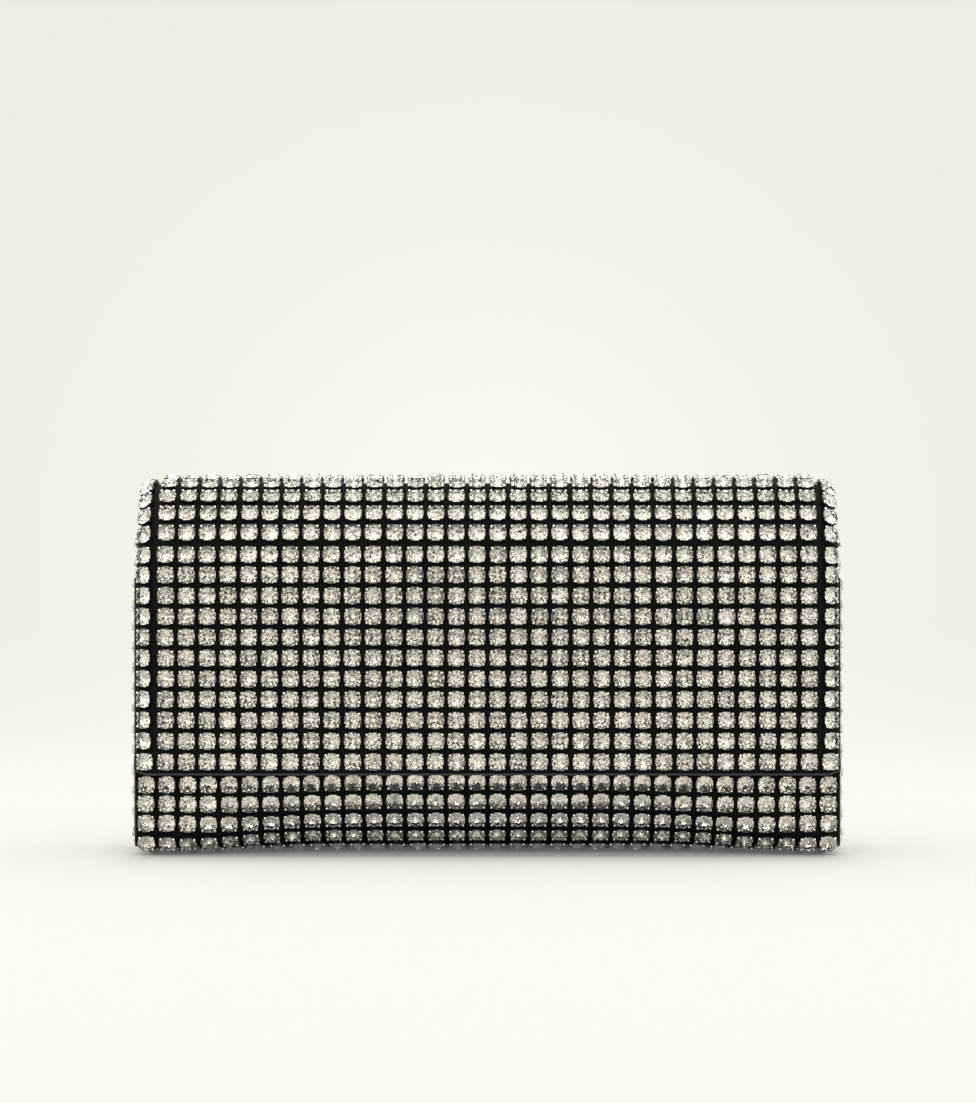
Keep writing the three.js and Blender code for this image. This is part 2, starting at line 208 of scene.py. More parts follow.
def mesh_object(name, points, faces, materials=(), face_material=None, smooth=False, uv=None):
    """A mesh from an array of points and its faces. face_material gives each face's material,
    and uv gives each point's place on the cloth."""
    mesh = bpy.data.meshes.new(name)
    mesh.from_pydata(np.asarray(points).reshape(-1, 3).tolist(), [], [list(face) for face in faces])
    for material in materials:
        mesh.materials.append(material)
    if face_material is not None:
        mesh.polygons.foreach_set("material_index", np.asarray(face_material, dtype=np.int32))
    mesh.polygons.foreach_set("use_smooth", np.full(len(mesh.polygons), smooth))
    if uv is not None:
        corner = np.zeros(len(mesh.loops), dtype=np.int32)
        mesh.loops.foreach_get("vertex_index", corner)
        layer = mesh.uv_layers.new(name="UVMap")
        layer.data.foreach_set("uv", np.asarray(uv)[corner].ravel())
    mesh.update()
    piece = bpy.data.objects.new(name, mesh)
    scene.collection.objects.link(piece)
    return piece


def paper_floor():
    """A disc of radius 1 m that is solid near the bag and clears away towards its rim. The paper also
    glows, a painted light that weakens the bag's shade on it, and the glow is held back beneath the bag as
    a painted shadow: its share grows with the distance outside a box round the foot."""
    paper, nodes = new_material("floor_paper")
    place = nodes.add("ShaderNodeTexCoord", output=3)
    reach = nodes.vector("LENGTH", place, output=1)
    clearing = nodes.ramp(reach * 0.5, [(0.10, 0.0), (0.42, 1.0)])
    beyond = nodes.vector("SUBTRACT", nodes.vector("ABSOLUTE", place), (0.113, 0.024, 0))
    beyond = nodes.vector("MULTIPLY", nodes.vector("MAXIMUM", beyond, (0, 0, 0)), (3, 1, 0))
    # painted shadow: the glow is cut to a quarter at the bag's foot and comes back over a few centimetres,
    # sooner beyond the bag's ends
    glow_share_painted_shadow = nodes.ramp(nodes.vector("LENGTH", beyond, output=1) * 10,
                         [(0.0, 0.25), (0.06, 0.45), (0.2, 0.7), (0.35, 0.9), (0.7, 1.0)])
    painted_glow_colour = nodes.mix(glow_share_painted_shadow, (0.0, 0.0, 0.0), SURROUND_NEAR)
    matt = nodes.add("ShaderNodeBsdfDiffuse", sockets={"Color": (0.335, 0.33, 0.325, 1)})
    # painted light: the paper glows on its own, though it is no lamp
    glow = nodes.add("ShaderNodeEmission", sockets={"Color": painted_glow_colour, "Strength": 0.47})
    solid = nodes.add("ShaderNodeAddShader", sockets={0: matt, 1: glow})
    air = nodes.add("ShaderNodeBsdfTransparent")
    shown = nodes.add("ShaderNodeMixShader", sockets={0: clearing, 1: solid, 2: air})
    nodes.add("ShaderNodeOutputMaterial", sockets={"Surface": shown})
    angle = np.linspace(0, 2 * math.pi, 96, endpoint=False)
    rim = np.stack([np.cos(angle), np.sin(angle), 0 * angle], -1)
    return mesh_object("floor", rim, [range(96)], [paper])


paper_floor()

# ---- The bag's form ----
# The shell is a box with upright walls, a foot that is round in the middle and square at the
# gussets, and a flap that rolls over the top. Every other piece is fixed to this form.
PITCH = 0.007  # from one stone of the mesh to the next
ROLL_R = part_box("back_board")[1].y
FRONT_Y, BACK_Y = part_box("front_board")[0].y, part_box("back_board")[1].y
HALF, MIDDLE = (BACK_Y - FRONT_Y) / 2, (BACK_Y + FRONT_Y) / 2
GUSSET_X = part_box("right_gusset_board")[1].x
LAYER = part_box("right_gusset_crystal_mesh")[1].x - GUSSET_X
ROLL_HEIGHT, ROLL_EXPONENT = 0.0348, 2.4
ROLL_Z = cad_bounds[1][2] - ROLL_HEIGHT - LAYER  # the roll starts here, front and back
FIRST_FOLD, STRIP = 0.014, 0.0135  # along the cloth from the roll's start, and from fold to fold
FOLDS = FIRST_FOLD + STRIP * np.arange(6)
CURVE_Z = 0.0396  # the walls are upright above this
CURVE_H = CURVE_Z - LAYER
SEAM = 0.0387  # from there down the wall to the base's seam
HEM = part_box("flap_board")[0].z - ROLL_Z  # the flap's lower edge, measured along its cloth
MESH_X = (33 * PITCH + 0.006) / 2
CURL_START, CURL_WIDTH, CURL_ANGLE = 0.1105, 0.003, math.radians(33)


def ease(value, low, high):
    """Rises smoothly from 0 at low to 1 at high."""
    share = np.clip((value - low) / (high - low), 0, 1)
    return share * share * (3 - 2 * share)


def foot(x, drop):
    """The point at drop down a superellipse quarter whose exponent grows towards the gussets.

    Returns the depth from the middle, the height, the two parts of the normal and the whole
    quarter's length."""
    square = ease(np.abs(x), 0.056, 0.116)
    n = (1 / ((1 - square) / 2.4 + square / 20))[..., None]
    turn = np.linspace(0, math.pi / 2, 500)
    reach = ((np.cos(turn) / HALF) ** n + (np.sin(turn) / CURVE_H) ** n) ** (-1 / n)
    across, down = reach * np.cos(turn), reach * np.sin(turn)
    steps = np.hypot(np.diff(across), np.diff(down))
    length = np.concatenate([np.zeros_like(steps[..., :1]), np.cumsum(steps, -1)], -1)
    wanted = np.clip(drop, 0, length[..., -1] - 1e-7)[..., None]
    after = np.clip((length <= wanted).sum(-1, keepdims=True), 1, 499)

    def pick(values):
        low = np.take_along_axis(values, after - 1, -1)
        high = np.take_along_axis(values, after, -1)
        start = np.take_along_axis(length, after - 1, -1)
        end = np.take_along_axis(length, after, -1)
        return (low + (high - low) * (wanted - start) / (end - start))[..., 0]

    y, fall = pick(across), pick(down)
    n = n[..., 0]
    normal_y = (np.maximum(y, 0) / HALF) ** (n - 1) / HALF
    normal_z = -((fall / CURVE_H) ** (n - 1)) / CURVE_H
    size = np.hypot(normal_y, normal_z)
    return y, CURVE_Z - fall, normal_y / size, normal_z / size, length[..., -1]


def roll_table():
    """The roll's curve from the front over to the back, a superellipse, with its length."""
    turn = np.linspace(0, math.pi, 8001)
    across, up = np.cos(turn), np.maximum(np.sin(turn), 0)
    reach = (np.abs(across / ROLL_R) ** ROLL_EXPONENT + (up / ROLL_HEIGHT) ** ROLL_EXPONENT)
    reach = reach ** (-1 / ROLL_EXPONENT)
    y, z = -reach * across, reach * up
    length = np.concatenate([[0], np.cumsum(np.hypot(np.diff(y), np.diff(z)))])
    return y, z, length


ROLL_Y_TABLE, ROLL_Z_TABLE, ROLL_ALONG = roll_table()
ROLL_LENGTH = ROLL_ALONG[-1]


def roll(along):
    """The roll's depth and height at a distance along it, and the angle turned from the front.
    Before its start and after its end the cloth hangs straight."""
    y = np.interp(along, ROLL_ALONG, ROLL_Y_TABLE)
    z = np.interp(along, ROLL_ALONG, ROLL_Z_TABLE)
    power = ROLL_EXPONENT - 1
    out_y = np.sign(y) * np.abs(y / ROLL_R) ** power / ROLL_R
    out_z = (z / ROLL_HEIGHT) ** power / ROLL_HEIGHT
    z = z + np.minimum(along, 0) - np.maximum(along - ROLL_LENGTH, 0)
    return y, z + ROLL_Z, np.arctan2(out_z, -out_y)


def wall(side):
    """The front (-1) or back (1) wall: a function of x and the distance down its cloth from
    CURVE_Z, giving points and normals. The back's top follows the roll."""

    def surface(x, drop):
        y, z, normal_y, normal_z, _ = foot(x, np.maximum(drop, 0))
        upright = drop <= 0
        y, z = np.where(upright, HALF, y), np.where(upright, CURVE_Z - drop, z)
        normal_y, normal_z = np.where(upright, 1, normal_y), np.where(upright, 0, normal_z)
        points = np.stack([x, MIDDLE + side * y, z], -1)
        normals = np.stack([0 * x, side * normal_y, normal_z], -1)
        if side > 0:
            over = -drop - (ROLL_Z - CURVE_Z)
            top_y, top_z, angle = roll(ROLL_LENGTH - over)
            rolled = (over > 0)[..., None]
            points = np.where(rolled, np.stack([x, top_y, top_z], -1), points)
            normals = np.where(rolled, np.stack([0 * x, -np.cos(angle), np.sin(angle)], -1), normals)
        return points, normals

    return surface


def base(x, share):
    """The base, from its front seam at share -1 to its back seam at 1."""
    length = foot(x, 0 * x)[4]
    drop = length - np.abs(share) * (length - SEAM - 0.0004)
    front_points, front_normals = wall(-1)(x, drop)
    back_points, back_normals = wall(1)(x, drop)
    at_front = (share < 0)[..., None]
    return np.where(at_front, front_points, back_points), np.where(at_front, front_normals, back_normals)


def flap(across, along):
    """The flap's cloth: across from the middle, and along from the start of the roll. The side
    edges turn back round the bag's corners, but not at the hem."""
    y, z, angle = roll(along)
    outward = np.stack([0 * across, -np.cos(angle), np.sin(angle)], -1)
    points = np.stack([0 * across, y + 0 * across, z + 0 * across], -1)
    held = 0.12 + 0.88 * ease(along, -0.061, -0.049)
    turn = CURL_ANGLE * held * (1 - ease(angle, 1.9, 2.9)) + 1e-4
    ramp = np.clip(np.abs(across) - CURL_START, 0, CURL_WIDTH)
    rest = np.maximum(np.abs(across) - CURL_START - CURL_WIDTH, 0)
    bend, radius = turn * ramp / CURL_WIDTH, CURL_WIDTH / turn
    sideways = np.minimum(np.abs(across), CURL_START) + radius * np.sin(bend) + rest * np.cos(turn)
    inward = radius * (1 - np.cos(bend)) + rest * np.sin(turn)
    points = points - outward * inward[..., None]
    points[..., 0] = np.sign(across) * sideways
    normals = outward * np.cos(bend)[..., None]
    normals[..., 0] = np.sign(across) * np.sin(bend)
    return points, normals


def gusset(side):
    """A gusset's flat cloth, as a function of depth and height."""

    def surface(y, z):
        points = np.stack([0 * y + side * GUSSET_X, y, z], -1)
        normals = np.stack([0 * y + side, 0 * y, 0 * y], -1)
        return points, normals

    return surface


# ---- The crystals and their cups ----
# Each stone is a round brilliant of clear glass, foiled behind, in a silvery cup with four
# prongs. The cups are clamped through a black net at a 7 mm pitch.
STONE_R = 0.00298
CUP_BASE, CULET, GIRDLE, CROWN_FOOT, TABLE = 0.00016, 0.00018, 0.00238, 0.00250, 0.00348
luck = np.random.default_rng(11)


def ring(radius, height, count, start=0.0):
    """count points round a circle at a height, the first at an angle of start steps."""
    angle = (np.arange(count) + start) * 2 * math.pi / count
    return np.stack([radius * np.cos(angle), radius * np.sin(angle), 0 * angle + height], -1)


def brilliant():
    """A round brilliant's points, faces and which of them are foiled: a table of eight sides,
    star, kite and upper girdle facets, a girdle, and the lower girdle facets and mains."""
    table = ring(0.53 * STONE_R, TABLE, 8, 0.5)
    kite = ring(0.80 * STONE_R, 0.5 * (CROWN_FOOT + TABLE) + 0.00012, 8)
    top = ring(STONE_R, CROWN_FOOT, 16)
    low = ring(STONE_R, GIRDLE, 16)
    main = ring(0.32 * STONE_R, CULET + 0.00068, 8, 0.5)
    points = np.concatenate([table, kite, top, low, main, [[0, 0, CULET]]])
    t, k, u, g, m, c = 0, 8, 16, 32, 48, 56
    faces, foiled = [[t + i for i in range(8)]], [0]

    def add(face, foil=0):
        faces.append(face)
        foiled.append(foil)

    for i in range(8):
        j = (i + 1) % 8
        before = (i - 1) % 8
        add([t + before, k + i, t + i])
        add([t + i, k + i, u + 2 * i + 1, k + j])
        add([k + i, u + 2 * i, u + 2 * i + 1])
        add([k + i, u + (2 * i - 1) % 16, u + 2 * i])
        add([g + 2 * i, m + i, g + 2 * i + 1], 1)
        add([g + 2 * i + 1, m + i, g + (2 * i + 2) % 16], 1)
        add([g + 2 * i, m + before, m + i], 1)
        add([c, m + i, m + before], 1)
    for i in range(16):
        j = (i + 1) % 16
        add([u + i, g + i, g + j, u + j])
    return points, faces, foiled


def cup():
    """An eight-sided open cup: a profile of (radius, height) carried round its axis, which closes
    on itself, with a flat rim under the girdle."""
    sides = ((0.0023, CUP_BASE), (0.003, 0.0016), (0.00312, 0.0023), (0.00292, 0.0023), (0.0015, CUP_BASE))
    rings = [ring(radius, height, 8, 0.5) for radius, height in sides]
    points = np.concatenate(rings)
    faces = []
    for i in range(len(rings)):
        a, b = 8 * i, 8 * ((i + 1) % len(rings))
        faces += [[a + j, a + (j + 1) % 8, b + (j + 1) % 8, b + j] for j in range(8)]
    return points, faces, [0] * len(faces)


def prongs():
    """Four claws at the corners, each a leaning bead of five sides that closes over the crown."""
    points, faces = [], []
    for corner in range(4):
        turn = math.pi / 4 + corner * math.pi / 2
        outward = np.array([math.cos(turn), math.sin(turn), 0])
        aside = np.array([-math.sin(turn), math.cos(turn), 0])
        sections = ((0.00302, 0.0014, 0.00036), (0.00310, 0.0025, 0.00056), (0.00294, 0.00300, 0.00046))
        start = 16 * corner
        for out, up, width in sections:
            circle = ring(width, 0, 5)
            points.append(outward * out + circle[:, :1] * aside + circle[:, 1:2] * outward
                          + np.array([0, 0, up]))
        points.append((outward * 0.00276 + np.array([0, 0, 0.0032]))[None])
        for level in range(2):
            a = start + 5 * level
            faces += [[a + j, a + 5 + j, a + 5 + (j + 1) % 5, a + (j + 1) % 5] for j in range(5)]
        faces += [[start + 10 + j, start + 15, start + 10 + (j + 1) % 5] for j in range(5)]
        faces.append([start + j for j in range(5)])
    return np.concatenate(points), faces, [0] * len(faces)


def seats(surface, u, v):
    """A frame at each seat: its point and the directions along u, along v and outwards."""
    step = 1e-5
    points, normals = surface(u, v)
    ahead = surface(u, v + step)[0] - surface(u, v - step)[0]
    ahead = ahead - (ahead * normals).sum(-1, keepdims=True) * normals
    ahead /= np.linalg.norm(ahead, axis=-1, keepdims=True)
    return points, np.stack([np.cross(ahead, normals), ahead, normals], -1)


def tilted(turns, lean):
    """Small random turns of the seats: each stone sits a little off square in its cup."""
    count = len(turns)
    a, b = luck.normal(0, lean, (2, count))
    one, zero = np.ones(count), np.zeros(count)
    tip = np.stack([np.stack([one, zero, a], -1), np.stack([zero, one, b], -1),
                    np.stack([-a, -b, one], -1)], -2)
    return turns @ tip


def spun(turns, angles):
    """The seats turned about their own outward directions."""
    cos, sin, zero, one = np.cos(angles), np.sin(angles), 0 * angles, 0 * angles + 1
    spin = np.stack([np.stack([cos, -sin, zero], -1), np.stack([sin, cos, zero], -1),
                     np.stack([zero, zero, one], -1)], -2)
    return turns @ spin


def planted(name, shape, points, turns, materials, smooth=False):
    """One mesh of a copy of shape at every seat."""
    template, faces, which = shape
    placed = points[:, None, :] + np.einsum("nij,vj->nvi", turns, template)
    count, size = len(points), len(template)
    copies = [[index + size * k for index in face] for k in range(count) for face in faces]
    return mesh_object(name, placed, copies, materials, which * count, smooth)


def crystal_glass():
    """Clear leaded glass."""
    material, nodes = new_material("crystal_glass")
    nodes.surface(Base_Color=(1.0, 0.99, 0.97, 1), Roughness=0.0, IOR=1.56, Transmission_Weight=1.0)
    return material


def crystal_foil():
    """The silver foil on the stones' backs, with a painted shade that darkens some facets more than
    others, for the dark reflections that give a brilliant its sparkle.
    """
    material, nodes = new_material("crystal_foil")
    place = nodes.add("ShaderNodeTexCoord", output=3)
    facet = nodes.vector("SNAP", place, (0.0008,) * 3)
    cells = nodes.add("ShaderNodeTexWhiteNoise", {}, {"Vector": facet})
    # painted shade: each 0.8 mm cell of the foil is darkened by a random amount, standing in for the dark
    # things that a brilliant reflects
    tone = nodes.ramp(cells, [(0.0, 0.45), (0.35, 0.85), (1.0, 1.0)])
    warm_painted_facet_shade = nodes.vector("MULTIPLY", tone, (0.97, 0.95, 0.91))
    nodes.surface(Base_Color=warm_painted_facet_shade, Roughness=0.03, Metallic=1.0)
    return material


def cup_silver(name, colour, roughness):
    """Rhodium-plated brass. The cups' copy is given a far darker colour than the prongs' copy, as painted
    shade.
    """
    material, nodes = new_material(name)
    place = nodes.add("ShaderNodeTexCoord", output=3)
    grain = nodes.add("ShaderNodeTexNoise", {}, {"Vector": place, "Scale": 900.0, "Detail": 2.0})
    nodes.surface(Base_Color=nodes.mix(grain, tuple(0.8 * c for c in colour), colour),
                  Roughness=grain * 0.15 + (roughness - 0.07), Metallic=1.0)
    return material


GLASS, FOIL = crystal_glass(), crystal_foil()
# painted shade: the cups take a much darker copy of the prongs' plated silver, for the shade that they sit
# in between the stones
CUP_SILVER_PAINTED_SHADE = cup_silver("cup_silver", (0.26, 0.25, 0.23), 0.34)
PRONG = cup_silver("prong_silver", (0.90, 0.88, 0.84), 0.16)
BRILLIANT, CUP_SHAPE, PRONG_SHAPE = brilliant(), cup(), prongs()


def crystals(panel, body, node, surface, u, v):
    """The stones, cups and prongs of one panel, at every pair of u and v."""
    points, turns = seats(surface, np.asarray(u, float), np.asarray(v, float))
    points = points + turns[:, :, 0] * luck.normal(0, 6e-5, (len(points), 1))
    cups_turned = tilted(turns, 0.018)
    stones_turned = spun(tilted(cups_turned, 0.03), luck.uniform(0, 2 * math.pi, len(points)))
    made = [
        planted(f"{panel}_stones", BRILLIANT, points, stones_turned, [GLASS, FOIL]),
        planted(f"{panel}_cups", CUP_SHAPE, points, cups_turned, [CUP_SILVER_PAINTED_SHADE]),
        planted(f"{panel}_prongs", PRONG_SHAPE, points, cups_turned, [PRONG], smooth=True),
    ]
    for piece in made:
        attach(piece, body)
    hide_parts(node)


def lattice(u, v):
    """Every pair of u and v, as two flat arrays."""
    grid = np.meshgrid(u, v, indexing="ij")
    return grid[0].ravel(), grid[1].ravel()


columns = (np.arange(34) - 16.5) * PITCH
FOLD_ROOM = 0.0004  # the rows beside the first and last folds stand this much further from them
flap_rows = (np.arange(11) - 8.5) * PITCH
flap_rows[-1] -= FOLD_ROOM
crystals("flap", "flap", "flap_crystal_mesh", flap, *lattice(columns, flap_rows))
for number, crease in enumerate(FOLDS[:-1], 1):
    rows = crease + STRIP * np.array([0.25, 0.75])
    strip = f"roll_{number}"
    crystals(strip, strip, f"{strip}_crystal_mesh", flap, *lattice(columns, rows))
back_top = CURVE_Z - ROLL_Z - (ROLL_LENGTH - FOLDS[-1])  # the last fold, as a distance down the back
back_rows = np.linspace(back_top + STRIP / 4 + FOLD_ROOM, 0.0352, 16)
crystals("back", "bag_body", "back_crystal_mesh", wall(1), *lattice(columns, back_rows))
middle_rows = np.array([0.0144, 0.0209, 0.0275, 0.0341])
end_rows = np.array([0.0156, 0.0221, 0.0286, 0.0346])
front_v = middle_rows + (end_rows - middle_rows) * ease(np.abs(columns), 0.030, 0.100)[:, None]
front_u = columns[:, None] + 0 * front_v
crystals("front", "bag_body", "front_crystal_mesh", wall(-1), front_u.ravel(), front_v.ravel())


NARROW_PITCH = 0.00685  # on the base and the gussets, which are a little tighter
ROOM = 0.0029  # from a seat to the edge that it needs round it


def base_seats():
    """Pairs of x and share on the base. The rows start 3.3 mm inside each seam and follow it,
    7 mm apart, and where there is space left between them, stones of a middle row sit half a
    stone to the side."""
    pairs = []
    for x in (np.arange(34) - 16.5) * NARROW_PITCH:
        half = foot(np.array([x]), np.zeros(1))[4][0] - SEAM
        arcs = np.arange(half - 0.0033, 0.0031, -PITCH)
        pairs += [(x, arc / (half - 0.0004)) for arc in (*arcs, *-arcs)]
        if arcs[-1] > 0.0064 and x < 0.11:
            pairs.append((x + NARROW_PITCH / 2, 0.0))
    return np.array(pairs).T


crystals("base", "bag_body", "base_crystal_mesh", base, *base_seats())


def gusset_seats():
    """Pairs of depth and height inside the gusset's outline, which narrows at its shoulders."""
    y, z = lattice((np.arange(7) - 3) * NARROW_PITCH, 0.0073 + np.arange(15) * PITCH)
    heights = [0.100, 0.105, 0.1095, 0.1132]
    front_limit = np.interp(z + ROOM, [0.095, *heights], [0.024, 0.0231, 0.0216, 0.0188, 0.0152])
    back_limit = np.interp(z + ROOM, [0.093, *heights], [0.024, 0.021, 0.019, 0.0162, 0.012])
    fits = (y - ROOM > -front_limit) & (y + ROOM < back_limit)
    return y[fits] + MIDDLE, z[fits]


for side, sign in (("left", -1), ("right", 1)):
    crystals(f"{side}_gusset", "bag_body", f"{side}_gusset_crystal_mesh", gusset(sign), *gusset_seats())

# ---- The covered boards ----
# Stiff board wrapped in black mesh cloth, under the crystals of every fixed side. The cups are
# clamped through a layer of the same cloth that runs on to each panel's edge.


def shell(name, surface, us, vs, layer, material, pucker=0.0):
    """A closed sheet over every pair of u and v: the surface moved out along its normals to the
    two distances of layer, with rims between them. pucker is the height of its soft waves."""
    u, v = np.meshgrid(us, vs, indexing="ij")
    points, normals = surface(u, v)
    waves = np.sin(u * 310 + 2.1 * np.sin(v * 95)) * np.sin(v * 240 + 1.7 * np.sin(u * 130))
    sides = [points + normals * (distance + pucker * waves)[..., None] for distance in layer]
    rows, columns = u.shape
    at = np.arange(rows * columns).reshape(rows, columns)
    quads = np.stack([at[:-1, :-1], at[1:, :-1], at[1:, 1:], at[:-1, 1:]], -1).reshape(-1, 4)
    along, across = points[1, 0] - points[0, 0], points[0, 1] - points[0, 0]
    if np.dot(np.cross(along, across), normals[0, 0]) < 0:
        quads = quads[:, ::-1]
    rim = np.concatenate([at[:-1, 0], at[-1, :-1], at[:0:-1, -1], at[0, :0:-1]])
    ahead = np.roll(rim, -1)
    far = rows * columns
    if np.dot(np.cross(along, across), normals[0, 0]) < 0:
        band = np.stack([ahead, rim, rim + far, ahead + far], -1)
    else:
        band = np.stack([rim, ahead, ahead + far, rim + far], -1)
    faces = np.concatenate([quads[:, ::-1], quads + far, band])
    lengths = np.stack([u, v], -1).reshape(-1, 2)
    piece = mesh_object(name, np.concatenate([side.reshape(-1, 3) for side in sides]), faces.tolist(),
                        [material], smooth=True, uv=np.concatenate([lengths, lengths]))
    piece.data.set_sharp_from_angle(angle=math.radians(40))
    return piece


THREAD_PITCH = 0.0007


def mesh_cloth():
    """Black mesh cloth: round threads both ways, with open holes between them."""
    material, nodes = new_material("mesh_cloth")
    lengths = nodes.add("ShaderNodeTexCoord", output=2)
    across, along, _ = nodes.parts(lengths)
    turns = 2 * math.pi / THREAD_PITCH
    threads = (across * turns).math("SINE").math("MAXIMUM", (along * turns).math("SINE"))
    drift = nodes.add("ShaderNodeTexNoise", {}, {"Vector": lengths, "Scale": 60.0, "Detail": 3.0})
    depth = nodes.ramp(threads * 0.5 + 0.5, [(0.3, 0.0), (0.8, 1.0)])
    shown = nodes.mix(depth, (0.0012, 0.0010, 0.0008), (0.0075, 0.0062, 0.0050))
    dusty = nodes.mix(drift * 0.25, shown, (0.014, 0.012, 0.010))
    raised = nodes.add("ShaderNodeBump", {}, {"Height": threads, "Distance": 0.00012, "Strength": 0.7})
    nodes.surface(Base_Color=dusty, Roughness=drift * 0.2 + 0.72, Normal=raised, Specular_IOR_Level=0.18)
    return material


def satin(name, dark, bright, roughness=0.34):
    """Satin: fine floats along the warp, a soft gloss, and slubs."""
    material, nodes = new_material(name)
    lengths = nodes.add("ShaderNodeTexCoord", output=2)
    floats = nodes.add("ShaderNodeMapping", {}, {"Vector": lengths, "Scale": (9000.0, 700.0, 1.0)})
    grain = nodes.add("ShaderNodeTexNoise", {}, {"Vector": floats, "Scale": 1.0, "Detail": 2.0})
    cloud = nodes.add("ShaderNodeTexNoise", {}, {"Vector": lengths, "Scale": 45.0, "Detail": 3.0})
    raised = nodes.add("ShaderNodeBump", {}, {"Height": grain, "Distance": 0.00004, "Strength": 0.5})
    nodes.surface(Base_Color=nodes.mix(grain * 0.6 + cloud * 0.4, dark, bright),
                  Roughness=cloud * 0.16 + roughness, Normal=raised, Sheen_Weight=0.25)
    return material


MESH_CLOTH = mesh_cloth()
SATIN = satin("lining_satin", (0.010, 0.009, 0.008), (0.026, 0.023, 0.021))
BOARD, LINING, NET = (-0.0012, 0.0), (-0.0019, -0.0014), (0.00002, 0.00013)
WALL_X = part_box("front_board")[1].x
LINING_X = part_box("front_lining")[1].x
BASE_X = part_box("base_crystal_mesh")[1].x
FRONT_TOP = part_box("front_board")[1].z
wide = np.linspace(-1, 1, 81)
foot_drops = np.concatenate([np.linspace(0, 0.019, 5), np.linspace(0.021, SEAM, 22)])
front_drops = np.concatenate([np.linspace(CURVE_Z - FRONT_TOP, -0.004, 14), foot_drops])
net_drops = np.concatenate([np.linspace(0.0105, 0.019, 4), foot_drops[foot_drops > 0.0195]])
back_drops = np.concatenate([np.linspace(back_top + 0.0095, CURVE_Z - ROLL_Z, 8),
                             np.linspace(CURVE_Z - ROLL_Z + 0.004, -0.004, 10), foot_drops])
shares = np.linspace(-1, 1, 33)


def fixed(piece, body, slot, *nodes):
    """Fixes a piece to a body, and hides the solids that it stands for. slot, the name of its finish, is
    not used.
    """
    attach(piece, body)
    if nodes:
        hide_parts(*nodes)
    return piece


for panel, surface, drops, own_net in (("front", wall(-1), front_drops, net_drops),
                                       ("back", wall(1), back_drops, back_drops)):
    fixed(shell(f"{panel}_covered_board", surface, wide * WALL_X, drops, BOARD, MESH_CLOTH),
          "bag_body", "shell_cloth", f"{panel}_board")
    fixed(shell(f"{panel}_net", surface, wide * MESH_X, own_net, NET, MESH_CLOTH),
          "bag_body", "crystal_mesh")
    fixed(shell(f"{panel}_satin", surface, wide * LINING_X, drops, LINING, SATIN, 0.00008),
          "bag_body", "lining", f"{panel}_lining")
fixed(shell("base_covered_board", base, wide * WALL_X, shares, BOARD, MESH_CLOTH),
      "bag_body", "shell_cloth", "base_board")
fixed(shell("base_net", base, wide * BASE_X, shares, NET, MESH_CLOTH), "bag_body", "crystal_mesh")
fixed(shell("base_satin", base, wide * LINING_X, shares, LINING, SATIN, 0.00006),
      "bag_body", "lining", "base_lining")

# ---- The gussets' boards ----
# The same covered board, cut to the side's outline: round below with the walls, and narrowing
# at the shoulders so that the rolled flap clears it.
SHOULDERS = np.array([(-24, 95), (-23.1, 100), (-21.6, 105), (-18.8, 109.5), (-15.2, 113.2), (14, 113.2),
                      (18, 109.5), (20.8, 105), (22.4, 100), (24, 93)]) / 1000
SHOULDERS[:, 0] += MIDDLE


def unit(vectors):
    """Vectors divided by their lengths."""
    return vectors / np.linalg.norm(vectors, axis=-1, keepdims=True)


def run_along(path):
    """How far each point of a path is from its first, along the path."""
    return np.concatenate([[0], np.cumsum(np.linalg.norm(np.diff(path, axis=0), axis=1))])


def points_along(wanted, marks, path):
    """The points of a path at wanted places, where marks holds the place of each given point."""
    return np.stack([np.interp(wanted, marks, column) for column in path.T], -1)


def gusset_outline(inset):
    """The outline as depth and height, once round from the front shoulder over the top, down
    the back, under the foot and up the front, drawn in by inset."""
    edge = np.full(len(foot_drops), GUSSET_X)
    sides = []
    for side in (1, -1):
        points, normals = wall(side)(edge, foot_drops)
        moved = (points - normals * inset)[:, 1:]
        sides.append(moved if side > 0 else moved[::-1])
    way = np.sign(SHOULDERS[:, 0] - MIDDLE)
    shoulders = SHOULDERS - np.stack([way * inset, 0 * way + inset], -1)
    fine = np.linspace(0, len(shoulders) - 1, 4 * (len(shoulders) - 1) + 1)
    spread = points_along(fine, np.arange(len(shoulders)), shoulders)
    return np.concatenate([spread, *sides])


def gusset_sheet(name, x_inner, x_outer, inset, material, sign):
    """A flat sheet of the gusset's outline: rings that shrink to the middle on both faces."""
    rim = gusset_outline(inset)
    middle = np.array([MIDDLE, 0.06])
    steps = np.array([1, 0.93, 0.7, 0.4, 0.12])
    count = len(rim)
    rings, lengths = [], []
    for x, order in ((x_outer, steps[::-1]), (x_inner, steps)):
        for share in order:
            flat = middle + (rim - middle) * share
            rings.append(np.column_stack([np.full(count, sign * x), flat]))
            lengths.append(flat)
    points = np.concatenate(rings)
    faces = []
    for k in range(len(rings) - 1):
        a = k * count + np.arange(count)
        b = k * count + (np.arange(count) + 1) % count
        faces += np.stack([a, b, b + count, a + count], -1).tolist()
    faces += [list(range(count))[::-1], list((len(rings) - 1) * count + np.arange(count))]
    faces = [face[::-1] for face in faces] if sign < 0 else faces
    piece = mesh_object(name, points, faces, [material], smooth=True, uv=np.concatenate(lengths))
    piece.data.set_sharp_from_angle(angle=math.radians(40))
    return piece


for side, sign in (("left", -1), ("right", 1)):
    low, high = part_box(f"{side}_gusset_board")
    board_in, board_out = sorted((abs(low.x), abs(high.x)))
    low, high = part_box(f"{side}_gusset_lining")
    lining_in, lining_out = sorted((abs(low.x), abs(high.x)))
    board_out += 0.00012
    fixed(gusset_sheet(f"{side}_gusset_covered_board", board_in, board_out, 0, MESH_CLOTH, sign),
          "bag_body", "shell_cloth", f"{side}_gusset_board")
    fixed(gusset_sheet(f"{side}_gusset_satin", lining_in, lining_out, 0.0016, SATIN, sign),
          "bag_body", "lining", f"{side}_gusset_lining")
